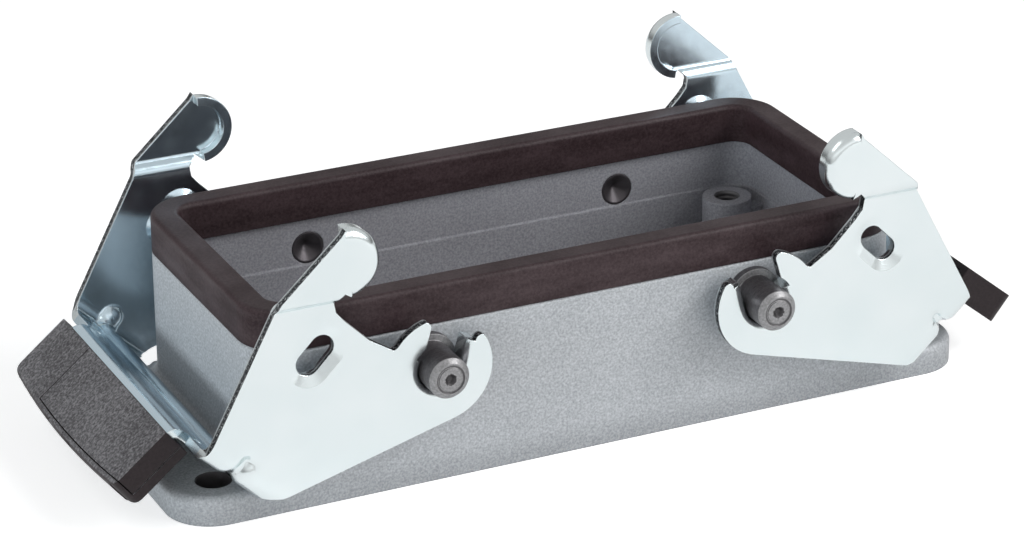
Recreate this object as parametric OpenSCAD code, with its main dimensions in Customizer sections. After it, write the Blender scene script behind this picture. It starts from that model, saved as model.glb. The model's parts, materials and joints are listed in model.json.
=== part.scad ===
// Panel-mount base of a heavy duty rectangular connector, with two locking levers.
// Millimetres. +X along the housing, +Y to the back, +Z up.
// The origin is the centre of the flange's underside.
// Levers are drawn in a side view: u runs outward from the middle of the part, w runs up.

/* [Housing] */
// Length of the walls over the rim
body_l = 94.2; // [90:0.1:110]
// Width of the walls and of the flange
body_w = 43; // [42:0.5:50]
// Outer corner radius of the walls
body_r = 6.5; // [5.5:0.5:8]
// Wall thickness
wall_t = 2.9; // [2.6:0.1:3.2]
// Height of the rim seal's top face above the flange's underside
rim_z = 27.8; // [26.5:0.1:30]
// Draft step on the inner faces, at the parting line
parting_step = 0.3; // [0.1:0.1:0.5]
// Height of the parting line inside
parting_z = 15.4; // [12:0.1:17]

/* [Flange] */
// How far the flange reaches past each end wall
ledge = 10.75; // [9.75:0.25:13]
// Thickness of the flange
flange_t = 3.9; // [3.2:0.1:4.1]
// Rounding of the flange's upper edge
flange_edge = 1.1; // [0.5:0.1:1.4]
// Fillet where the end walls meet the flange
foot_fillet = 1.8; // [1:0.1:2]
// Distance of the flange holes from the flange's ends
hole_inset_x = 6.35; // [5.5:0.05:7]
// Distance of the flange holes from the flange's long edges
hole_inset_y = 5.5; // [5:0.05:7]
// Diameter of the flange holes
flange_hole_d = 4.8; // [3.4:0.1:5.5]

/* [Insert bosses] */
// Distance of the insert screws from the outsides of the end walls
boss_inset_x = 8.35; // [7.5:0.05:10]
// Distance of the insert screws from the outsides of the long walls
boss_inset_y = 8; // [7.5:0.05:9.5]
// Outer diameter of a screw boss
boss_d = 7; // [6:0.1:7.6]
// Height of the bosses' top faces
boss_z = 16; // [14:0.1:18]
// Diameter of the hole in a boss
boss_hole_d = 3.5; // [3:0.1:4]
// Width of the rib that ties a boss to the end wall
boss_rib_w = 2.2; // [1.5:0.1:3]

/* [Seals] */
// Width of the rim seal's top face
rim_seal_w = 3.85; // [3.5:0.05:4.3]
// Depth of the rim seal's outer skirt below its top face
skirt_depth = 5.45; // [4.5:0.05:6]
// Thickness of the rim seal's outer skirt
skirt_t = 1.2; // [1:0.1:1.4]
// Thickness of rubber above the wall's top edge
rim_seal_top = 1.5; // [1.2:0.1:2]
// Width of the seal in the flange's underside
flange_seal_w = 1.3; // [1:0.1:1.5]
// Height of the seal in the flange's underside
flange_seal_t = 1.2; // [0.8:0.1:1.6]
// Clearance between a seal and the metal round it
seal_clear = 0.05; // [0.02:0.01:0.1]

/* [Pins] */
// Distance of the pin axes from the outsides of the end walls
pin_inset = 23.4; // [22.5:0.1:25]
// Depth of the pin axes below the rim seal's top face
pin_drop = 10; // [9.8:0.05:10.5]
// Diameter of the part of a pin that carries a lever
pin_d = 5.6; // [5:0.1:6]
// How far a pin stands out of the cheek it carries
pin_proud = 3.2; // [2.6:0.1:4]
// Diameter of the shank in the wall
shank_d = 4.6; // [4:0.1:4.8]
// Diameter of the collar against the wall
collar_d = 7.4; // [6.6:0.1:7.6]
// Thickness of the collar
collar_t = 1; // [0.6:0.1:1.4]

/* [Lever sheet] */
// Thickness of the lever's sheet steel
sheet_t = 1.2; // [1:0.1:1.3]
// Gap between a long wall and the cheek beside it
cheek_gap = 3.15; // [2.9:0.05:3.4]
// How far the ear is stepped outward from its cheek
joggle = 1.1; // [0.8:0.1:1.4]
// Height above the pin axes at which the outward step begins
joggle_rise = 12; // [11.7:0.05:12.3]
// Radial clearance between a pin and the collar that turns on it
seat_clear = 0.05; // [0.02:0.01:0.1]
// Width of the rolled edge round the pin seat, in the cheek's outer face
roll_w = 1.05; // [0.8:0.05:1.1]
// Outer radius of the hook and of the tine round the pin
hook_r = 7.3; // [7:0.1:7.6]
// Angle of the slot's mouth from the outward direction
slot_angle = 106; // [100:1:112]
// Radius of the ear's round end
ear_r = 4.7; // [4.4:0.1:5]
// Depth of the ear's inturned rim, from the outer face
ear_rim = 2.6; // [2.2:0.1:2.8]
// Length of the obround hole in a cheek
eye_l = 6; // [5:0.1:6.5]
// Width of the obround hole in a cheek
eye_w = 3.3; // [3:0.1:3.6]

/* [Lever web] */
// Angle of the web from the flange when the lever is open
web_angle = 43; // [41:0.5:45]
// Distance of the web's upper edge from the bends' lower corner
web_l = 12.1; // [11.5:0.1:12.5]
// Distance of the web's lower edge from the bends' lower corner
web_low = 2.7; // [2.5:0.1:3.2]
// Outer radius of the bends between web and cheeks
bend_r = 3; // [3:0.1:3.6]
// Distance of the stiffening bead from the bends' lower corner
bead_s = 6.9; // [6.2:0.1:8]
// Height of the bead above the web's inner face
bead_h = 1.05; // [0.8:0.05:1.2]
// Half the width of the bead
bead_half_w = 2; // [1.8:0.05:2.2]
// Width of the tongue that enters the grip
tongue_w = 36; // [30:0.5:36.5]
// Length of the tongue inside the grip
tongue_l = 7; // [5:0.5:7.5]

/* [Grip] */
// Length of the grip across the part
grip_w = 39; // [38:0.5:41]
// Depth of the grip at its ends, from the web outward
grip_l = 9.6; // [9.2:0.1:11]
// How far the outer edge bows out at the middle
grip_bow = 1; // [0.5:0.1:1.5]
// Thickness of the grip
grip_t = 4.4; // [4.1:0.1:4.8]
// Slope of the grip below level when the lever is open
grip_angle = 39; // [37:0.5:41]
// Thickness of the grip's cover
cover_t = 2.9; // [2.8:0.05:3]
// Width of the rim left outside the cover
cover_rim = 1.1; // [0.9:0.1:1.5]
// Distance of the cover's inner end from the middle plane
cover_y = 9; // [6:0.5:12]
// Gap between the grip's body and its cover
seam = 0.15; // [0.1:0.05:0.2]

/* [Hidden] */
$fn = 64;
// A small overlap, and a length beyond any outline
eps = 0.01;
far = 100;

flange_l = body_l + 2 * ledge;
hole_span_x = flange_l - 2 * hole_inset_x;
hole_span_y = body_w - 2 * hole_inset_y;
insert_span_x = body_l - 2 * boss_inset_x;
insert_span_y = body_w - 2 * boss_inset_y;
wall_x = body_l / 2;
wall_y = body_w / 2;
pin_x = wall_x - pin_inset;
pin_z = rim_z - pin_drop;
cheek_y = wall_y + cheek_gap + sheet_t;
pin_end_y = cheek_y + pin_proud;
joggle_z = pin_z + joggle_rise;
cavity_l = body_l - 2 * wall_t;
cavity_w = body_w - 2 * wall_t;
cavity_r = body_r - wall_t;
skirt_z = rim_z - skirt_depth;
rib_z = rim_z - rim_seal_top;
pin_r = pin_d / 2;
seat_r = pin_r + seat_clear;
roll_r = seat_r + roll_w;
pin = [pin_x, pin_z];

// Web frame: s runs up the web from its lower outer edge, h runs inward from its outer face
web_foot = [wall_x + 0.46, flange_t - 0.7];
web_dir = [cos(web_angle), sin(web_angle)];
web_nrm = [-sin(web_angle), cos(web_angle)];
function web_at(s, h) = web_foot + s * web_dir + h * web_nrm;

// Slot frame: p runs from the pin towards the tine, q runs up the slot
slot_q = [cos(slot_angle), sin(slot_angle)];
slot_p = [sin(slot_angle), -cos(slot_angle)];
function slot_at(p, q) = pin + p * slot_p + q * slot_q;

// Corners of the cheek in the side view
cheek_foot_z = flange_t + 0.3;
heel = [wall_x - 1.3, cheek_foot_z];
slope_low = pin + [9.65, 6.1];
slope_high = pin + [13.1, 9.55];
mouth_bend = pin + [14.2, 10.9];
mouth_side = [pin_x + 14.4, joggle_z];
back_foot = web_at(web_l, sheet_t + 0.1);
back_top = [wall_x - 0.8, joggle_z];
ear_c = [pin_x + 12.9, joggle_z + 5.5];
ear_from = 88;
ear_to = 262;
ear_back_low = [wall_x - 1.55, joggle_z + 1.8];
ear_back_high = ear_c + [0.7, 3.9];
notch = ear_c + [0.4, -3.9];
valley_r = 1.6;
tip_r = 0.75;
eye_c = pin + [17, 5.35];
eye_angle = 135;
eye_rim = 1.5;
eye_depth = 0.6;

// Grip frame: a runs outward, b runs up from the grip's top face
grip_top = [wall_x + 11.75, flange_t + 9.85];
tongue_b = -(grip_t - sheet_t) / 2;
bow_r = (grip_w * grip_w / 4 + grip_bow * grip_bow) / (2 * grip_bow);
grip_reach = grip_l + grip_bow;
function in_grip(p) = [
    (p - grip_top) * [cos(grip_angle), -sin(grip_angle)],
    (p - grip_top) * [sin(grip_angle), cos(grip_angle)]
];

// Fold between web and tongue: its axis lies fold_r outside the web's outer face
fold_r = 0.8;
fold_b = tongue_b - sheet_t / 2 - fold_r;
fold_s = (fold_b - in_grip(web_at(0, -fold_r))[1]) / (in_grip(web_at(1, 0))[1] - in_grip(web_at(0, 0))[1]);

// Plan outline with rounded corners, centred on the origin
module rounded_rect(l, w, r) {
    square([l - 2 * r, w], center = true);
    square([l, w - 2 * r], center = true);
    for (x = [-1, 1], y = [-1, 1])
        translate([x * (l / 2 - r), y * (w / 2 - r)]) circle(r);
}

module rounded_block(l, w, r, z0, z1) {
    translate([0, 0, z0]) linear_extrude(z1 - z0) rounded_rect(l, w, r);
}

// Carries a profile round a rounded rectangle; the profile's x is measured from the corner's centre
module sweep_round(l, w, r) {
    for (k = [0 : 3])
        rotate(90 * k) {
            run_x = (k % 2 == 0) ? l / 2 - r : w / 2 - r;
            run_y = (k % 2 == 0) ? w / 2 - r : l / 2 - r;
            translate([run_x, run_y, 0]) rotate_extrude(angle = 90) children();
            translate([run_x, run_y, 0]) rotate([90, 0, 0]) linear_extrude(2 * run_y) children();
        }
}

// Profile of a slab's edge, rounded at the top
module edge_profile(r, t, e) {
    square([r, t - e]);
    square([r - e, t]);
    translate([r - e, t - e]) circle(e);
}

// Profile of the fillet at the foot of a wall whose corner radius is r
module foot_profile(r, f) {
    difference() {
        translate([r - eps, -eps]) square([f + eps, f + eps]);
        translate([r + f, f]) circle(f);
    }
}

module flange() {
    r = body_r;
    sweep_round(flange_l, body_w, r) edge_profile(r, flange_t, flange_edge);
    translate([-flange_l / 2 + r, -body_w / 2 + r, 0])
        cube([flange_l - 2 * r, body_w - 2 * r, flange_t]);
}

module foot_fillets() {
    intersection() {
        translate([0, 0, flange_t])
            sweep_round(body_l, body_w, body_r) foot_profile(body_r, foot_fillet);
        rounded_block(flange_l, body_w - eps, body_r, 0, rim_z);
    }
}

// Screw boss for the contact insert, tied to the end wall by a rib
module insert_boss() {
    boss_x = insert_span_x / 2;
    boss_y = insert_span_y / 2;
    translate([boss_x, boss_y, 0]) cylinder(d = boss_d, h = boss_z);
    translate([boss_x, boss_y - boss_rib_w / 2, 0])
        cube([cavity_l / 2 - boss_x + wall_t / 2, boss_rib_w, boss_z - 2]);
    translate([boss_x - boss_rib_w / 2, boss_y, 0])
        cube([boss_rib_w, cavity_w / 2 - boss_y + wall_t / 2, boss_z - 2]);
}

module each_corner(span_x, span_y) {
    for (x = [-1, 1], y = [-1, 1])
        translate([x * span_x / 2, y * span_y / 2, 0]) children();
}

// Broken edge at the top of the walls' outer faces
module rim_chamfer() {
    cut = 0.3;
    sweep_round(body_l, body_w, body_r) polygon([
        [body_r - cut, skirt_z + eps], [body_r + 1, skirt_z + eps],
        [body_r + 1, skirt_z - cut - 1], [body_r, skirt_z - cut]
    ]);
}

module housing() {
    seal_mid_l = body_l - wall_t;
    seal_mid_w = body_w - wall_t;
    seal_mid_r = body_r - wall_t / 2;
    groove_w = flange_seal_w + 2 * seal_clear;
    color("silver") difference() {
        union() {
            difference() {
                union() {
                    flange();
                    rounded_block(body_l, body_w, body_r, 0, skirt_z);
                    rounded_block(body_l - 2 * skirt_t, body_w - 2 * skirt_t, body_r - skirt_t, 0, rib_z);
                    foot_fillets();
                }
                rounded_block(cavity_l, cavity_w, cavity_r, parting_z, rim_z);
                rounded_block(
                    cavity_l - 2 * parting_step, cavity_w - 2 * parting_step,
                    cavity_r - parting_step, -1, parting_z + eps
                );
            }
            for (x = [0, 1], y = [0, 1])
                mirror([x, 0, 0]) mirror([0, y, 0]) insert_boss();
        }
        difference() {
            rounded_block(
                seal_mid_l + groove_w, seal_mid_w + groove_w, seal_mid_r + groove_w / 2,
                -1, flange_seal_t + seal_clear
            );
            rounded_block(
                seal_mid_l - groove_w, seal_mid_w - groove_w, seal_mid_r - groove_w / 2,
                -2, rim_z
            );
        }
        rim_chamfer();
        each_corner(hole_span_x, hole_span_y)
            translate([0, 0, -1]) cylinder(d = flange_hole_d, h = flange_t + 2);
        each_corner(insert_span_x, insert_span_y)
            translate([0, 0, boss_z / 3]) cylinder(d = boss_hole_d, h = boss_z);
        for (x = [-1, 1])
            translate([x * pin_x, body_w, pin_z]) rotate([90, 0, 0])
                cylinder(d = shank_d + 2 * seal_clear, h = 2 * body_w);
    }
}

// Section of the rubber cap that sits over the wall's top edge
module rim_seal_profile(r) {
    round_r = 0.7;
    inner = r - rim_seal_w;
    metal_in = r - wall_t - seal_clear;
    metal_out = r - skirt_t + seal_clear;
    top = rim_seal_top - seal_clear;
    translate([inner + round_r, rim_z - top]) square([rim_seal_w - 2 * round_r, top]);
    translate([inner, rim_z - top]) square([rim_seal_w, top - round_r]);
    for (x = [inner + round_r, r - round_r])
        translate([x, rim_z - round_r]) circle(round_r);
    skirt_h = skirt_depth - round_r;
    translate([metal_out, skirt_z + seal_clear]) square([r - metal_out, skirt_h - seal_clear]);
    translate([inner, skirt_z]) square([metal_in - inner, skirt_h]);
}

module rim_gasket() {
    color("#2b2426") sweep_round(body_l, body_w, body_r) rim_seal_profile(body_r);
}

module flange_seal() {
    mid_l = body_l - wall_t;
    mid_w = body_w - wall_t;
    mid_r = body_r - wall_t / 2;
    color("#1c1c1c")
        sweep_round(mid_l + flange_seal_w, mid_w + flange_seal_w, mid_r + flange_seal_w / 2)
            translate([mid_r - flange_seal_w / 2, 0]) square([flange_seal_w, flange_seal_t]);
}

// A pin along +Y from the cavity's inner face to its free end
module lever_pin() {
    chamfer = 0.6;
    dimple_r = 0.75;
    ring_r = 1.9;
    wall_out = body_w / 2;
    wall_in = cavity_w / 2;
    color("#5a5658") rotate([-90, 0, 0]) difference() {
        union() {
            translate([0, 0, wall_in]) cylinder(d = shank_d, h = wall_t + collar_t);
            translate([0, 0, wall_out]) cylinder(d = collar_d, h = collar_t);
            translate([0, 0, wall_out]) cylinder(r = pin_r, h = pin_end_y - wall_out - chamfer);
            translate([0, 0, pin_end_y - chamfer])
                cylinder(r1 = pin_r, r2 = pin_r - chamfer, h = chamfer);
        }
        translate([0, 0, wall_in - eps]) cylinder(r1 = shank_d / 2 - 0.3, r2 = 0.2, h = 1.4);
        translate([0, 0, pin_end_y - 0.5]) cylinder(r1 = 0.35, r2 = dimple_r, h = 0.5 + eps);
        translate([0, 0, pin_end_y - 0.12]) difference() {
            cylinder(r = ring_r, h = 1);
            translate([0, 0, -1]) cylinder(r = ring_r - 0.3, h = 3);
        }
    }
}

module placed_pin(side_x, side_y) {
    translate([side_x * pin_x, 0, pin_z]) mirror([0, side_y < 0 ? 1 : 0, 0]) lever_pin();
}

// Stands a side-view outline up and gives it thickness from y0 to y1 at the back of the part
module stand(y0, y1) {
    translate([0, y1, 0]) rotate([90, 0, 0]) linear_extrude(y1 - y0) children();
}

module both_cheeks() {
    children();
    mirror([0, 1, 0]) children();
}

// The part of a slot tip that its rounding takes away; edge is the slot edge's distance from q
module tip_trim(side, edge) {
    c_p = edge + tip_r;
    c_q = sqrt(pow(hook_r - tip_r, 2) - c_p * c_p);
    centre = slot_at(side * c_p, c_q);
    outward = (centre - pin) / (hook_r - tip_r);
    difference() {
        polygon([
            centre, centre + 3 * outward, slot_at(side * (c_p + 1), c_q + 4),
            slot_at(side * (edge - 1), c_q + 4), slot_at(side * (edge - 1), c_q)
        ]);
        translate(centre) circle(tip_r);
    }
}

module slot_cut() {
    translate(pin) circle(roll_r);
    polygon([
        slot_at(-roll_r, 0), slot_at(-roll_r, hook_r + 2),
        slot_at(seat_r, hook_r + 2), slot_at(seat_r, 0)
    ]);
    tip_trim(-1, roll_r);
    tip_trim(1, seat_r);
}

// Fills the corner between the tine and the sloping edge of the mouth; its round just crosses the tine's
module valley_fill() {
    along = (slope_high - slope_low) / norm(slope_high - slope_low);
    up = [-along[1], along[0]];
    drop = (slope_low - pin) * up + valley_r;
    centre = pin + drop * up + sqrt(pow(hook_r + valley_r - eps, 2) - drop * drop) * along;
    difference() {
        polygon([pin, centre, centre - valley_r * up, pin + (drop - valley_r) * up]);
        translate(centre) circle(valley_r);
    }
}

// Point where the cheek's lower edge leaves the hook's circle, on the way to the heel
hook_turn = atan2(heel[1] - pin_z, heel[0] - pin_x) - acos(hook_r / norm(heel - pin));
hook_low = pin + hook_r * [cos(hook_turn), sin(hook_turn)];

module cheek_outline() {
    difference() {
        union() {
            translate(pin) circle(hook_r);
            polygon([
                pin, hook_low, heel, [web_foot[0] + 3, cheek_foot_z], web_at(web_l, -1), back_foot,
                back_top, mouth_side, mouth_bend, slope_high, slope_low
            ]);
            valley_fill();
        }
        slot_cut();
        translate(eye_c) rotate(eye_angle) obround(eye_l, eye_w);
    }
}

module obround(l, w) {
    square([l - w, w], center = true);
    for (x = [-1, 1]) translate([x * (l - w) / 2, 0]) circle(w / 2);
}

// Tapered obround about the eye: r0 is its half width at z = 0 and r1 at z = h
module eye_frustum(r0, r1, h) {
    span = eye_l - eye_w;
    for (x = [-1, 1]) translate([x * span / 2, 0, 0]) cylinder(r1 = r0, r2 = r1, h = h);
    translate([span / 2, 0, 0]) rotate([0, -90, 0]) linear_extrude(span)
        polygon([[0, -r0], [h, -r1], [h, r1], [0, r0]]);
}

// Places a shape drawn upward from z = 0 on the eye's axis, going inward from y0
module at_eye(y0) {
    translate([eye_c[0], y0, eye_c[1]]) rotate([90, 0, 0]) rotate(eye_angle) children();
}

// The bead's middle surface is three arcs of radius bead_r, each turning through bead_turn
bead_turn = 2 * atan(bead_h / bead_half_w);
bead_r = bead_half_w / (2 * sin(bead_turn));
bead_c = sheet_t / 2 + bead_h - bead_r;

// One face of the bead, as a bump on y = base: r is its crest's radius, from r_side shoulders
module bead_face(r, r_side, base, low) {
    join = [r * sin(bead_turn), bead_c + r * cos(bead_turn)];
    difference() {
        polygon([
            [-bead_half_w, low], [bead_half_w, low], [bead_half_w, base], join,
            [-join[0], join[1]], [-bead_half_w, base]
        ]);
        for (x = [-1, 1]) translate([x * bead_half_w, base + r_side]) circle(r_side);
    }
    intersection() {
        translate([0, bead_c]) circle(r);
        translate([-r, join[1] - eps]) square([2 * r, 2 * r]);
    }
}

// Section across the bead, y up from the sheet's outer face: the metal added, or the groove outside
module bead_section(groove) {
    t = sheet_t / 2;
    if (groove) bead_face(bead_r - t, bead_r + t, 0, -1);
    else bead_face(bead_r + t, bead_r - t, sheet_t, t);
}

// The bead runs along the web and round both bends, and ends in a round on each cheek
module bead(groove) {
    bend_y = cheek_y - bend_r;
    run_out = 0.2;
    translate([web_foot[0], 0, web_foot[1]]) rotate([0, -web_angle, 0]) translate([bead_s, 0, 0]) {
        translate([0, bend_y, 0]) rotate([90, 0, 0]) linear_extrude(2 * bend_y) bead_section(groove);
        both_cheeks() {
            translate([0, bend_y, bend_r]) rotate([0, 90, 0]) rotate_extrude(angle = 90)
                translate([bend_r, 0]) rotate(90) bead_section(groove);
            translate([0, cheek_y, bend_r]) linear_extrude(run_out)
                mirror([0, 1]) bead_section(groove);
            translate([0, cheek_y, bend_r + run_out]) rotate([90, 0, 0]) rotate_extrude(angle = 180)
                intersection() {
                    bead_section(groove);
                    translate([0, -far / 2]) square(far);
                }
        }
    }
}

// Cheeks, bends and web as one channel along the web's own direction
module channel() {
    inner_r = bend_r - sheet_t;
    translate([web_foot[0], 0, web_foot[1]]) rotate([0, -web_angle, 0])
        translate([far / 2, 0, 0]) rotate([0, -90, 0]) linear_extrude(far)
            difference() {
                channel_section(cheek_y, bend_r);
                translate([sheet_t, 0]) channel_section(cheek_y - sheet_t, inner_r);
            }
}

// Half plane with rounded lower corners: x is h, y is across the part
module channel_section(half_w, r) {
    translate([r, -half_w]) square([far, 2 * half_w]);
    translate([0, -half_w + r]) square([far, 2 * (half_w - r)]);
    for (y = [-1, 1]) translate([r, y * (half_w - r)]) circle(r);
}

// Ring sector of the sheet in the joggle
module sheet_arc(c, a0, a1) {
    mid_r = sheet_t;
    mid = (a0 + a1) / 2;
    reach = 3 * mid_r;
    translate(c) intersection() {
        difference() {
            circle(mid_r + sheet_t / 2);
            circle(mid_r - sheet_t / 2);
        }
        polygon([
            [0, 0], reach * [cos(a0), sin(a0)], reach * [cos(mid), sin(mid)], reach * [cos(a1), sin(a1)]
        ]);
    }
}

// Two bends step the ear outward; x is across the part and y is up
joggle_turn = acos(1 - joggle / (2 * sheet_t));
joggle_top = joggle_z + 2 * sheet_t * sin(joggle_turn);

module joggle_section() {
    mid_y = cheek_y - sheet_t / 2;
    translate([cheek_y - sheet_t, joggle_z - eps]) square([sheet_t, eps]);
    sheet_arc([mid_y + sheet_t, joggle_z], 180, 180 - joggle_turn);
    sheet_arc([mid_y + joggle - sheet_t, joggle_top], -joggle_turn, 0);
    translate([cheek_y - sheet_t + joggle, joggle_top]) square([sheet_t, far]);
}

module ear_outline() {
    top = ear_c + ear_r * [cos(ear_from), sin(ear_from)];
    tip = ear_c + ear_r * [cos(ear_to), sin(ear_to)];
    difference() {
        polygon([
            ear_c, tip, notch, [mouth_side[0], notch[1] - 1.2], mouth_side,
            back_top, ear_back_low, ear_back_high, top
        ]);
        polygon([tip, notch, [mouth_side[0], notch[1] - 1.2], [mouth_side[0], tip[1] - 3], tip - [0, 3]]);
    }
}

// Section of the ear's rim: x from the ear's centre, y inward from its outer face
module ear_rim_profile() {
    out_r = sheet_t + 0.15;
    square([ear_r - out_r, sheet_t]);
    intersection() {
        translate([ear_r - out_r, out_r]) difference() {
            circle(out_r);
            circle(out_r - sheet_t);
        }
        translate([ear_r - out_r, 0]) square(out_r);
    }
    translate([ear_r - sheet_t, out_r]) square([sheet_t, ear_rim - out_r]);
}

module ear() {
    intersection() {
        rotate([90, 0, 90]) linear_extrude(far) joggle_section();
        stand(0, far) ear_outline();
    }
    translate([ear_c[0], cheek_y + joggle, ear_c[1]]) rotate([90, 0, 0])
        rotate([0, 0, ear_from]) rotate_extrude(angle = ear_to - ear_from) ear_rim_profile();
}

// Rolled edge of the pin seat: x from the pin's axis, y inward from the cheek's outer face
module seat_profile() {
    depth = cheek_y - body_w / 2 - collar_t - 0.35;
    difference() {
        translate([seat_r, 0]) square([sheet_t, depth]);
        difference() {
            translate([seat_r - 1, -1]) square([roll_w + 1, roll_w + 1]);
            translate([seat_r + roll_w, roll_w]) circle(roll_w);
        }
    }
}

// The seat turns on the pin; its rolled edge runs up the hook's side of the slot
module pin_seat() {
    roll_sweep = 195;
    hook_edge = 4.4;
    from = slot_angle + 90;
    translate([pin_x, cheek_y, pin_z]) rotate([90, 0, 0]) {
        rotate([0, 0, from]) rotate_extrude(angle = roll_sweep) seat_profile();
        rotate([0, 0, slot_angle]) rotate([0, 90, 0])
            linear_extrude(hook_edge) rotate(90) seat_profile();
    }
}

// Side view of the fold and the tongue: a full round and two strips, less the room below them
module tongue_outline() {
    fold = in_grip(web_at(fold_s, -fold_r));
    difference() {
        union() {
            translate(grip_top) rotate(-grip_angle) translate(fold) {
                circle(fold_r + sheet_t);
                square([tongue_l - fold[0], fold_r + sheet_t]);
            }
            polygon([
                web_at(web_l - 1, -fold_r), web_at(fold_s, -fold_r),
                web_at(fold_s, sheet_t), web_at(web_l - 1, sheet_t)
            ]);
        }
        translate(grip_top) rotate(-grip_angle) translate(fold) {
            circle(fold_r);
            translate([0, -far]) square([far, far + fold_r]);
        }
        polygon([
            web_at(fold_s, 0), web_at(fold_s - far, 0), web_at(fold_s - far, -far), web_at(fold_s, -far)
        ]);
    }
}

module tongue() {
    translate([0, tongue_w / 2, 0]) rotate([90, 0, 0]) linear_extrude(tongue_w) tongue_outline();
}

// Relief notches beside the tongue
module relief_cuts() {
    notch_w = 1.2;
    notch_l = 1.6;
    translate([web_foot[0], 0, web_foot[1]]) rotate([0, -web_angle, 0])
        for (y = [-1, 1]) translate([web_l - notch_l, y * (tongue_w + notch_w) / 2, -3]) {
            cylinder(d = notch_w, h = 8);
            translate([0, -notch_w / 2, 0]) cube([8, notch_w, 8]);
        }
}

// Takes the sheet away between the bends, below the web's lower edge
module web_low_cut() {
    half_w = cheek_y - bend_r;
    translate([web_foot[0], 0, web_foot[1]]) rotate([0, -web_angle, 0])
        translate([web_low - far, -half_w, -3]) cube([far, 2 * half_w, far]);
}

module lever_bracket() {
    difference() {
        union() {
            intersection() {
                channel();
                stand(-far / 2, far / 2) cheek_outline();
            }
            bead(false);
            both_cheeks() {
                ear();
                pin_seat();
                at_eye(cheek_y - sheet_t + eps)
                    eye_frustum(eye_w / 2 + eye_rim, eye_w / 2 + 0.2, eye_depth);
            }
            tongue();
        }
        bead(true);
        relief_cuts();
        web_low_cut();
        both_cheeks() {
            at_eye(cheek_y + 1) linear_extrude(5) obround(eye_l, eye_w);
            at_eye(cheek_y + eps) eye_frustum(eye_w / 2 + eye_rim, eye_w / 2 - 0.2, eye_depth + 0.05);
        }
    }
}

// Section of the grip, swept along the bowed outer edge
module grip_block(reach, top, bottom, round_r) {
    sweep = 2 * asin((grip_w / 2 + 1) / bow_r);
    inner = bow_r - grip_reach - 2;
    translate([grip_reach - bow_r, 0, 0]) rotate([0, 0, -sweep / 2]) rotate_extrude(angle = sweep, $fn = 720)
        translate([inner, bottom]) {
            square([reach + 2 - round_r, top - bottom]);
            translate([0, round_r]) square([reach + 2, top - bottom - 2 * round_r]);
            for (y = [round_r, top - bottom - round_r])
                translate([reach + 2 - round_r, y]) circle(round_r);
        }
}

module grip_solid() {
    corner_r = 1.6;
    intersection() {
        grip_block(grip_reach, 0, -grip_t, 0.8);
        translate([0, 0, -grip_t]) linear_extrude(grip_t) {
            translate([0, -grip_w / 2]) square([grip_l - corner_r, grip_w]);
            translate([0, -grip_w / 2 + corner_r]) square([2 * grip_l, grip_w - 2 * corner_r]);
            for (y = [-1, 1]) translate([grip_l - corner_r, y * (grip_w / 2 - corner_r)]) circle(corner_r);
        }
    }
}

module cover_space(gap) {
    intersection() {
        grip_block(grip_reach - cover_rim + gap, 1, -cover_t - gap, 0.1);
        translate([-1, -grip_w, -far / 2]) cube([grip_reach + 2, grip_w + cover_y + gap, far]);
    }
}

module tongue_pocket() {
    side = 0.15;
    translate([-1, -tongue_w / 2 - side, tongue_b - sheet_t / 2 - side])
        cube([tongue_l + side + 1, tongue_w + 2 * side, sheet_t + 2 * side]);
}

module in_grip_frame() {
    translate([grip_top[0], 0, grip_top[1]]) rotate([0, grip_angle, 0]) children();
}

module grip_body() {
    color("#453c3e") in_grip_frame() difference() {
        grip_solid();
        cover_space(seam);
        tongue_pocket();
    }
}

module grip_cover() {
    color("#5a5254") in_grip_frame() difference() {
        intersection() {
            grip_solid();
            cover_space(0);
        }
        tongue_pocket();
    }
}

// The left lever's outward direction is -X; the right lever is the same part turned end for end
module on_left() {
    mirror([1, 0, 0]) children();
}

module on_right() {
    rotate([0, 0, 180]) mirror([1, 0, 0]) children();
}

housing();
rim_gasket();
flange_seal();
placed_pin(-1, -1);  // pin_front_left
placed_pin(1, -1);  // pin_front_right
placed_pin(-1, 1);  // pin_back_left
placed_pin(1, 1);  // pin_back_right
on_left() color("#dfe7ea") lever_bracket();  // lever_bracket_left
on_right() color("#dfe7ea") lever_bracket();  // lever_bracket_right
on_left() grip_body();  // grip_body_left
on_right() grip_body();  // grip_body_right
on_left() grip_cover();  // grip_cover_left
on_right() grip_cover();  // grip_cover_right
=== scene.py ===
"""Looks, light and camera for the base housing of a heavy duty rectangular connector.

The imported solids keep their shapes; every node gets a procedural material here.
Lengths are in metres, in the part's own frame.
"""

import json
import math

import bpy
from mathutils import Matrix, Vector


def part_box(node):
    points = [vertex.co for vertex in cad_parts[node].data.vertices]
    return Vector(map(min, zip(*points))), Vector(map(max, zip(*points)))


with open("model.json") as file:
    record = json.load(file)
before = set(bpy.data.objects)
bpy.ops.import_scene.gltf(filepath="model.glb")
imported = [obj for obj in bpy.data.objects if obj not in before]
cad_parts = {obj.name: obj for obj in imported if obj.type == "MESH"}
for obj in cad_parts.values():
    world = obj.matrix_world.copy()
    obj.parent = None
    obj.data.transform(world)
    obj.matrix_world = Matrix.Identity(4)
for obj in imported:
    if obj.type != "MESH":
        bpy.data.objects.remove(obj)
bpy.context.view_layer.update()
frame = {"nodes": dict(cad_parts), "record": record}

MM = 0.001
WHITE = (1, 1, 1)

record = frame["record"]
mounts = {mount["name"]: mount["dims"] for mount in record["mounts"]}
hinge = record["behaviour"]["joints"][0]["pos_m"]


def hole_in(mount, margin):
    """Half the spacing along X and along Y of a mount's holes, and their radius with a margin."""
    dims = mounts[mount]
    return dims["spacing_x_mm"] / 2 * MM, dims["spacing_y_mm"] / 2 * MM, dims["hole_r_mm"] * MM + margin


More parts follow.
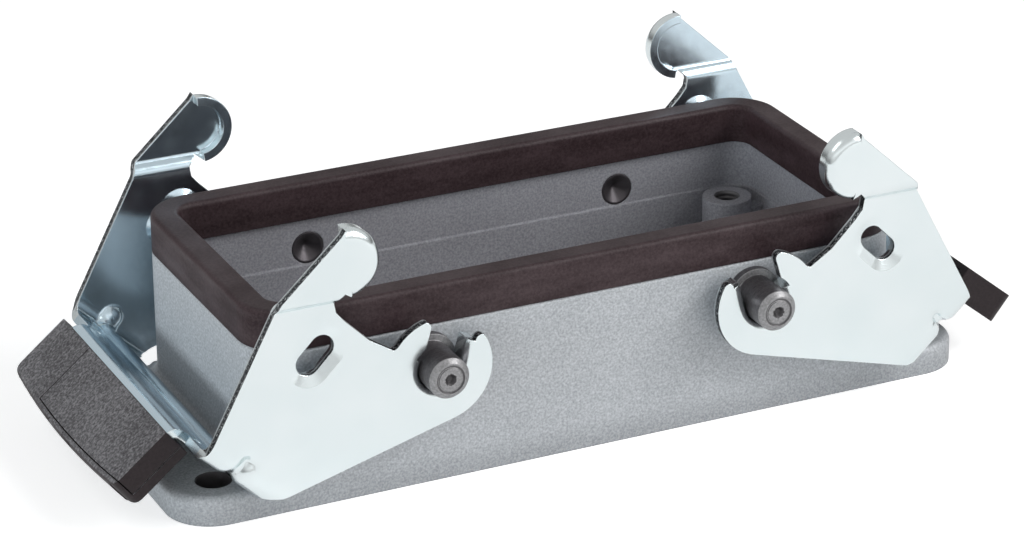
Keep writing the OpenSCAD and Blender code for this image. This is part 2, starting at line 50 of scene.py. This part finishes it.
# Reach of the solids from the middle, along X and Y
FLANGE_X, FLANGE_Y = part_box("housing")[1][:2]
WALL_X, WALL_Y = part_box("rim_gasket")[1][:2]
EAR_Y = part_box("lever_bracket_left")[1][1]

# Places where a material changes, the same on both sides of the middle
CAVITY_X, CAVITY_Y = WALL_X - 2.3 * MM, WALL_Y - 2.4 * MM
BOSS_HOLE = hole_in("insert_screws", 0.1 * MM)
FLANGE_HOLE = hole_in("flange_holes", 0.05 * MM)
THREAD_PITCH = 0.7 * MM
# Heights between which the painted shade along the foot, next to the floor, fades from darkest to none
FOOT_SHADE_Z = (1.0 * MM, 4.0 * MM)
PIN_X, PIN_Z = abs(hinge[0]), hinge[2]
PIN_SEAT_R = 5.2 * MM
PIN_RING_R = 1.85 * MM
PIN_CORE_R = 1.15 * MM
# A pin's inner end lies nearer the middle than this, and is painted dark there as shade
PIN_INNER_Y = WALL_Y - 0.5 * MM
# The cheek steps outward to the ear, between these heights and by this much
SHEET_T = 1.2 * MM
STEP = 1.1 * MM
STEP_Z = (PIN_Z + 12.0 * MM, PIN_Z + 14.0 * MM)
CHEEK_INNER_Y = EAR_Y - STEP - SHEET_T
# The ear's curled rim lies above this height and nearer the middle than this length
EAR_RIM_Z, EAR_RIM_X = PIN_Z + 13.4 * MM, PIN_X + 12.3 * MM
WEB_Y = CHEEK_INNER_Y - 1.75 * MM
GRIP_SLOPE = math.radians(39.0)

# The photograph's viewpoint, in millimetres, and its turned axes
CAMERA_PLACE = (-205.57, -436.75, 227.33)
CAMERA_RIGHT = (0.90451, -0.42638, -0.00767)
CAMERA_FORWARD = (0.38817, 0.83063, -0.39923)
LENS = 136.471
SENSOR = 36.0

# What the floor adds for camera rays and for mirror rays
FLOOR_SEEN = 0.60
FLOOR_MIRRORED = 0.37
# Under the part, inside these lengths, the floor adds nothing
FLOOR_HIDDEN_X, FLOOR_HIDDEN_Y = FLANGE_X - 3.35 * MM, FLANGE_Y - 2.5 * MM
# The tent: two heights on the unit sphere and the level at each, for lit and for mirrored rays
TENT_LIT = (0.05, 0.45, 0.50, 0.14)
TENT_MIRRORED = (0.10, 0.32, 0.18, 0.64)
# What the tent adds in front of the part, and where that fades out to the sides and above
FRONT = 0.48
FRONT_Y = (-0.75, -0.2)
FRONT_Z = (0.35, 0.70)

# Soft lamps: name, place, size, power, colour, and whether metal mirrors them
LAMPS = (
    ("key", (0.55, -0.45, 0.52), (0.5, 0.5), 4.5, WHITE, True),
    ("high_left", (-0.45, 0.05, 0.62), (0.4, 0.4), 0.8, WHITE, True),
    ("front_low", (-0.10, -0.75, 0.07), (1.0, 0.12), 0.9, WHITE, False),
    ("left_low", (-0.75, -0.10, 0.14), (1.0, 0.12), 3.4, (0.86, 0.95, 1.0), False),
)
LAMP_AIM = (0, 0, 0.01)


# Node trees


class Tree:
    """The nodes of a material or world, with short calls that add and link them."""

    def __init__(self, owner):
        owner.use_nodes = True
        self.nodes = owner.node_tree.nodes
        self.links = owner.node_tree.links
        self.nodes.clear()

    def add(self, kind, **settings):
        node = self.nodes.new(kind)
        for key, value in settings.items():
            setattr(node, key, value)
        return node

    def join(self, source, target):
        """Links an output to an input, or sets the input where source is a plain value."""
        if isinstance(source, bpy.types.NodeSocket):
            self.links.new(source, target)
        else:
            target.default_value = source

    def math(self, operation, *values):
        node = self.add("ShaderNodeMath", operation=operation)
        for value, socket in zip(values, node.inputs):
            self.join(value, socket)
        return node.outputs["Value"]

    def times(self, a, b):
        return self.math("MULTIPLY", a, b)

    def less(self, a, b):
        """1 where a is less than b, else 0."""
        return self.math("LESS_THAN", a, b)

    def more(self, a, b):
        """1 where a is more than b, else 0."""
        return self.math("GREATER_THAN", a, b)

    def absolute(self, value):
        return self.math("ABSOLUTE", value)

    def span(self, value, low, high, to_low=0.0, to_high=1.0):
        """Maps low..high to to_low..to_high, clamped."""
        node = self.add("ShaderNodeMapRange", clamp=True)
        for key, number in (("From Min", low), ("From Max", high), ("To Min", to_low), ("To Max", to_high)):
            self.join(number, node.inputs[key])
        self.join(value, node.inputs["Value"])
        return node.outputs["Result"]

    def split(self, vector):
        node = self.add("ShaderNodeSeparateXYZ")
        self.join(vector, node.inputs["Vector"])
        return node.outputs["X"], node.outputs["Y"], node.outputs["Z"]

    def rays(self):
        """Whether the ray comes from the camera, and whether it is a mirrored or a passing one."""
        path = self.add("ShaderNodeLightPath")
        mirrored = self.math("MAXIMUM", path.outputs["Is Glossy Ray"], path.outputs["Is Transmission Ray"])
        return path.outputs["Is Camera Ray"], mirrored


class Shader(Tree):
    """One node material."""

    def __init__(self, name):
        self.material = bpy.data.materials.new(name)
        super().__init__(self.material)
        self.output = self.add("ShaderNodeOutputMaterial")
        self.surface = self.add("ShaderNodeBsdfPrincipled")
        self.join(self.surface.outputs["BSDF"], self.output.inputs["Surface"])
        self.place = self.add("ShaderNodeTexCoord").outputs["Object"]

    def set(self, **values):
        """Sets or links inputs of the main shader; underscores stand for spaces."""
        for key, value in values.items():
            self.join(value, self.surface.inputs[key.replace("_", " ")])

    def noise(self, size, detail=2.0, rough=0.5, stretch=(1, 1, 1)):
        """Noise whose grains are about size metres across."""
        mapping = self.add("ShaderNodeMapping")
        mapping.inputs["Scale"].default_value = stretch
        self.join(self.place, mapping.inputs["Vector"])
        node = self.add("ShaderNodeTexNoise")
        self.join(mapping.outputs["Vector"], node.inputs["Vector"])
        node.inputs["Scale"].default_value = 1.0 / size
        node.inputs["Detail"].default_value = detail
        node.inputs["Roughness"].default_value = rough
        return node.outputs["Fac"]

    def weigh(self, a, b, share):
        """The share of b and the rest of a."""
        return self.math("MULTIPLY_ADD", b, share, self.times(a, 1.0 - share))

    def ramp(self, value, *stops):
        """Colour ramp; each stop is (position, (r, g, b))."""
        node = self.add("ShaderNodeValToRGB")
        elements = node.color_ramp.elements
        while len(elements) < len(stops):
            elements.new(0.5)
        for element, (position, colour) in zip(elements, stops):
            element.position = position
            element.color = (*colour, 1.0)
        self.join(value, node.inputs["Fac"])
        return node.outputs["Color"]

    def mix(self, factor, a, b, blend="MIX"):
        node = self.add("ShaderNodeMix", data_type="RGBA", blend_type=blend)
        self.join(factor, node.inputs[0])
        for socket, value in ((node.inputs[6], a), (node.inputs[7], b)):
            self.join((*value, 1.0) if isinstance(value, tuple) else value, socket)
        return node.outputs[2]

    def tint(self, factor, colour, by):
        """The colour, multiplied by another where factor is 1."""
        return self.mix(factor, colour, self.mix(1.0, colour, by, "MULTIPLY"))

    def distance(self, a, b, centre_a, centre_b):
        """Distance from a centre, in the plane of the coordinates a and b."""
        off_a, off_b = self.math("SUBTRACT", a, centre_a), self.math("SUBTRACT", b, centre_b)
        return self.math("SQRT", self.math("MULTIPLY_ADD", off_a, off_a, self.times(off_b, off_b)))

    def face(self):
        """The face's own normal in the node's frame, as x, y and z."""
        turn = self.add("ShaderNodeVectorTransform", vector_type="NORMAL")
        turn.convert_from, turn.convert_to = "WORLD", "OBJECT"
        self.join(self.add("ShaderNodeNewGeometry").outputs["True Normal"], turn.inputs["Vector"])
        return self.split(turn.outputs["Vector"])

    def bump(self, height, depth, strength, edge):
        """Surface relief depth metres high, over edges rounded by edge metres."""
        node = self.add("ShaderNodeBump")
        node.inputs["Strength"].default_value = strength
        node.inputs["Distance"].default_value = depth
        self.join(height, node.inputs["Height"])
        bevel = self.add("ShaderNodeBevel", samples=6)
        bevel.inputs["Radius"].default_value = edge
        self.join(bevel.outputs["Normal"], node.inputs["Normal"])
        self.set(Normal=node.outputs["Normal"])


# Materials


def cast_paint():
    """Silver-grey metallic powder coat on a casting: fine flakes over soft clouds, with painted shade
    inside the cavity, along the foot and in the flange holes.
    """
    s = Shader("cast_paint")
    x, y, z = s.split(s.place)
    along, across = s.absolute(x), s.absolute(y)
    flakes = s.noise(0.32 * MM, detail=2.0, rough=0.6)
    tone = s.weigh(flakes, s.noise(7 * MM, detail=3.0), 0.12)
    colour = s.ramp(
        tone, (0.32, (0.31, 0.325, 0.343)), (0.50, (0.41, 0.428, 0.449)), (0.68, (0.525, 0.545, 0.569))
    )
    # Painted shade: the coat is darkened inside the cavity, where shade falls.
    inside_shade = s.times(s.less(along, CAVITY_X), s.less(across, CAVITY_Y))
    colour = s.tint(inside_shade, colour, (0.78, 0.75, 0.78))
    # Painted shade: darker towards the bottom, along the foot next to the floor.
    colour = s.mix(s.span(z, *FOOT_SHADE_Z, 0.20, 0.0), colour, (0.0, 0.0, 0.0))
    tapped, hole_shade = (
        s.less(s.distance(along, across, hole_x, hole_y), radius)
        for hole_x, hole_y, radius in (BOSS_HOLE, FLANGE_HOLE)
    )
    colour = s.mix(tapped, colour, (0.16, 0.155, 0.16))
    # Painted shade: the walls of the flange holes are painted near black.
    colour = s.mix(hole_shade, colour, (0.07, 0.065, 0.068))
    s.set(Base_Color=colour, Metallic=0.12, Roughness=s.span(flakes, 0.3, 0.7, 0.60, 0.46))
    grain = s.math("ADD", s.times(flakes, 0.7), s.noise(1.6 * MM, detail=1.0))
    thread = s.math("SINE", s.times(z, 2 * math.pi / THREAD_PITCH))
    relief = s.math("MULTIPLY_ADD", s.times(thread, tapped), 4.0, grain)
    s.bump(relief, 0.03 * MM, 0.5, edge=0.35 * MM)
    return s.material


def seal_rubber():
    """Moulded black rubber, a little brown, with faint flow marks and dust in its grain."""
    s = Shader("seal_rubber")
    grain = s.noise(0.35 * MM, detail=3.0, rough=0.65)
    drift = s.noise(9 * MM, detail=3.0, stretch=(1, 1, 4))
    tone = s.weigh(grain, drift, 0.45)
    colour = s.ramp(tone, (0.36, (0.016, 0.0065, 0.0080)), (0.64, (0.052, 0.0330, 0.0365)))
    s.set(Base_Color=colour, Roughness=s.span(drift, 0.3, 0.7, 0.56, 0.44), Specular_IOR_Level=0.30)
    s.bump(grain, 0.02 * MM, 0.35, edge=0.25 * MM)
    return s.material


def plated_sheet():
    """Bright zinc-plated sheet steel, its inner faces darkened and tinted blue as painted shade; sheared
    edges are dark and torn.
    """
    s = Shader("plated_sheet")
    x, y, z = s.split(s.place)
    nx, ny, nz = s.face()
    along, across = s.absolute(x), s.absolute(y)
    # Depth into the sheet from a cheek's inner face, followed over the step to the ear
    step = s.span(z, *STEP_Z, 0.0, STEP)
    depth = s.math("SUBTRACT", s.math("SUBTRACT", across, CHEEK_INNER_Y), step)
    sheared = s.times(s.less(s.absolute(ny), 0.25), s.more(depth, -0.02 * MM))
    rim = s.times(s.more(z, EAR_RIM_Z), s.less(along, EAR_RIM_X))
    seat = s.less(s.distance(along, z, PIN_X, PIN_Z), PIN_SEAT_R)
    sheared = s.times(sheared, s.math("SUBTRACT", 1.0, s.math("MAXIMUM", rim, seat)))
    tear = s.noise(0.30 * MM, detail=3.0, rough=0.7)
    torn = s.span(s.math("MULTIPLY_ADD", tear, 0.8 * MM, depth), 0.50 * MM, 0.75 * MM)
    grit = s.ramp(
        tear, (0.42, (0.02, 0.022, 0.025)), (0.54, (0.085, 0.092, 0.10)), (0.66, (0.72, 0.76, 0.78))
    )
    edge_colour = s.mix(torn, (0.74, 0.79, 0.81), grit)
    # Painted shade: faces turned towards the middle, on the cheeks and the web, are darkened and tinted
    # blue.
    cheek_inner_shade = s.more(s.times(s.math("SIGN", y), s.times(ny, -1.0)), 0.3)
    web_inner_shade = s.more(s.times(nz, s.less(across, WEB_Y)), 0.3)
    cloud = s.noise(11 * MM, detail=2.5, rough=0.55)
    film = s.noise(1.8 * MM, detail=4.0, rough=0.6)
    face_colour = s.ramp(cloud, (0.3, (0.755, 0.825, 0.835)), (0.7, (0.805, 0.86, 0.87)))
    face_colour = s.tint(s.math("MAXIMUM", cheek_inner_shade, web_inner_shade), face_colour, (0.80, 0.89, 0.97))
    rough = s.math("MULTIPLY_ADD", sheared, 0.2, s.span(film, 0.3, 0.7, 0.15, 0.25))
    s.set(Base_Color=s.mix(sheared, face_colour, edge_colour), Metallic=1.0, Roughness=rough)
    rolling = s.noise(4 * MM, detail=2.0)
    s.bump(s.math("MULTIPLY_ADD", film, 0.15, rolling), 0.04 * MM, 0.25, edge=0.18 * MM)
    return s.material


def pin_steel():
    """Dull dark steel: fine turned lines on the side, a ring and a dark centre on the faced end; the inner
    ends are painted dark as shade inside the housing.
    """
    s = Shader("pin_steel")
    x, y, z = s.split(s.place)
    nx, ny, nz = s.face()
    radius = s.distance(s.absolute(x), z, PIN_X, PIN_Z)
    faced = s.more(s.absolute(ny), 0.6)
    grain = s.noise(0.35 * MM, detail=4.0, rough=0.7)
    lines = s.noise(0.18 * MM, detail=1.0, stretch=(0.05, 1, 0.05))
    side = s.weigh(grain, lines, 0.35)
    ring = s.less(s.absolute(s.math("SUBTRACT", radius, PIN_RING_R)), 0.13 * MM)
    core = s.less(s.math("MULTIPLY_ADD", grain, 0.7 * MM, radius), PIN_CORE_R)
    marks = s.math("MAXIMUM", s.times(ring, 0.7), core)
    side_colour = s.ramp(side, (0.3, (0.070, 0.064, 0.070)), (0.7, (0.15, 0.142, 0.15)))
    end_colour = s.ramp(grain, (0.3, (0.20, 0.198, 0.203)), (0.7, (0.37, 0.367, 0.373)))
    end_colour = s.mix(marks, end_colour, (0.075, 0.072, 0.075))
    colour = s.mix(faced, side_colour, end_colour)
    # Painted shade: the pins' inner ends, inside the housing, are painted dark.
    colour = s.mix(s.less(s.absolute(y), PIN_INNER_Y), colour, (0.075, 0.068, 0.074))
    s.set(Base_Color=colour, Metallic=0.7, Roughness=s.span(grain, 0.3, 0.7, 0.5, 0.36))
    s.bump(s.math("MULTIPLY_ADD", s.times(marks, faced), -0.5, side), 0.03 * MM, 0.4, edge=0.2 * MM)
    return s.material


def moulded_plastic(name, side):
    """Charcoal plastic: spark-eroded grain on the grip's broad faces, smoother all round; the broad faces
    are lighter and the other faces darker, partly from the real finish and partly as painted light and
    shade.

    side is -1 for the left grip and 1 for the right one.
    """
    s = Shader(name)
    nx, ny, nz = s.face()
    out = s.times(nx, side)
    broad = s.math("MULTIPLY_ADD", out, math.sin(GRIP_SLOPE), s.times(nz, math.cos(GRIP_SLOPE)))
    # The broad faces get a lighter colour and the others a darker one: partly the real grained and smooth
    # finish, partly painted light and shade.
    grain_and_light = s.span(s.absolute(broad), 0.80, 0.90)
    grain = s.noise(0.40 * MM, detail=3.0, rough=0.65)
    tone = s.weigh(grain, s.noise(12 * MM, detail=2.0), 0.25)
    broad_grain_and_light = s.ramp(
        tone, (0.37, (0.045, 0.041, 0.044)), (0.50, (0.112, 0.107, 0.111)), (0.63, (0.235, 0.225, 0.233))
    )
    side_finish_and_shade = s.ramp(tone, (0.32, (0.011, 0.0065, 0.0075)), (0.70, (0.023, 0.0155, 0.0175)))
    s.set(Base_Color=s.mix(grain_and_light, side_finish_and_shade, broad_grain_and_light), Specular_IOR_Level=0.26)
    s.set(Roughness=s.span(grain_and_light, 0.0, 1.0, 0.42, 0.62))
    s.bump(s.times(grain, s.span(grain_and_light, 0.0, 1.0, 0.35, 1.0)), 0.05 * MM, 0.6, edge=0.22 * MM)
    return s.material


def paint(nodes, material):
    for name in nodes:
        for slot in frame["nodes"][name].material_slots:
            slot.link = "OBJECT"
            slot.material = material


# Floor, world, lamps and camera


def make_floor():
    """A matt pale floor; camera and mirror rays see it as the white background, with the shadow kept."""
    bpy.ops.mesh.primitive_plane_add(size=12, location=(0, 0, -0.02 * MM))
    floor = bpy.context.object
    floor.name = "floor"
    s = Shader("floor_white")
    s.nodes.remove(s.surface)
    diffuse = s.add("ShaderNodeBsdfDiffuse")
    diffuse.inputs["Color"].default_value = (0.82, 0.82, 0.82, 1)
    glow = s.add("ShaderNodeEmission")
    camera_ray, mirror_ray = s.rays()
    level = s.math("MULTIPLY_ADD", camera_ray, FLOOR_SEEN, s.times(mirror_ray, FLOOR_MIRRORED))
    x, y, z = s.split(s.place)
    under = s.times(s.less(s.absolute(x), FLOOR_HIDDEN_X), s.less(s.absolute(y), FLOOR_HIDDEN_Y))
    s.join(s.times(level, s.math("SUBTRACT", 1.0, under)), glow.inputs["Strength"])
    total = s.add("ShaderNodeAddShader")
    s.join(diffuse.outputs[0], total.inputs[0])
    s.join(glow.outputs[0], total.inputs[1])
    s.join(total.outputs[0], s.output.inputs["Surface"])
    floor.data.materials.append(s.material)


def make_world():
    """A tent of light, bright low down and in front, dimmer overhead; the camera sees plain white."""
    world = bpy.data.worlds.new("studio")
    bpy.context.scene.world = world
    t = Tree(world)
    background = t.add("ShaderNodeBackground")
    background.inputs["Color"].default_value = (*WHITE, 1)
    t.join(background.outputs["Background"], t.add("ShaderNodeOutputWorld").inputs["Surface"])
    x, y, z = t.split(t.add("ShaderNodeTexCoord").outputs["Generated"])
    camera_ray, mirror_ray = t.rays()
    level = t.span(mirror_ray, 0.0, 1.0, t.span(z, *TENT_LIT), t.span(z, *TENT_MIRRORED))
    front = t.times(t.span(y, *FRONT_Y, FRONT, 0.0), t.span(z, *FRONT_Z, 1.0, 0.0))
    level = t.math("ADD", level, front)
    t.join(t.span(camera_ray, 0.0, 1.0, level, 1.0), background.inputs["Strength"])


def area_light(name, place, size, power, colour, mirrored):
    """A soft lamp that faces the part."""
    data = bpy.data.lights.new(name, "AREA")
    data.shape = "RECTANGLE"
    data.size, data.size_y = size
    data.energy = power
    data.color = colour
    light = bpy.data.objects.new(name, data)
    bpy.context.scene.collection.objects.link(light)
    light.visible_glossy = mirrored
    light.location = place
    light.rotation_euler = (Vector(place) - Vector(LAMP_AIM)).to_track_quat("Z", "Y").to_euler()


def make_camera():
    data = bpy.data.cameras.new("camera")
    data.sensor_fit = "HORIZONTAL"
    data.sensor_width = SENSOR
    data.lens = LENS
    data.clip_start = 0.02
    camera = bpy.data.objects.new("camera", data)
    bpy.context.scene.collection.objects.link(camera)
    right = Vector(CAMERA_RIGHT).normalized()
    back = -Vector(CAMERA_FORWARD).normalized()
    up = back.cross(right).normalized()
    right = up.cross(back)
    turn = Matrix((right, up, back)).transposed().to_4x4()
    camera.matrix_world = Matrix.Translation(Vector(CAMERA_PLACE) * MM) @ turn
    bpy.context.scene.camera = camera


paint(["housing"], cast_paint())
paint(["rim_gasket", "flange_seal"], seal_rubber())
paint(["lever_bracket_left", "lever_bracket_right"], plated_sheet())
paint(["pin_front_left", "pin_front_right", "pin_back_left", "pin_back_right"], pin_steel())
for end, side in (("left", -1.0), ("right", 1.0)):
    paint(["grip_body_" + end], moulded_plastic("grip_plastic_" + end, side))
    paint(["grip_cover_" + end], moulded_plastic("cover_plastic_" + end, side))

make_floor()
make_world()
make_camera()
for lamp in LAMPS:
    area_light(*lamp)
bpy.context.scene.view_settings.view_transform = "Standard"
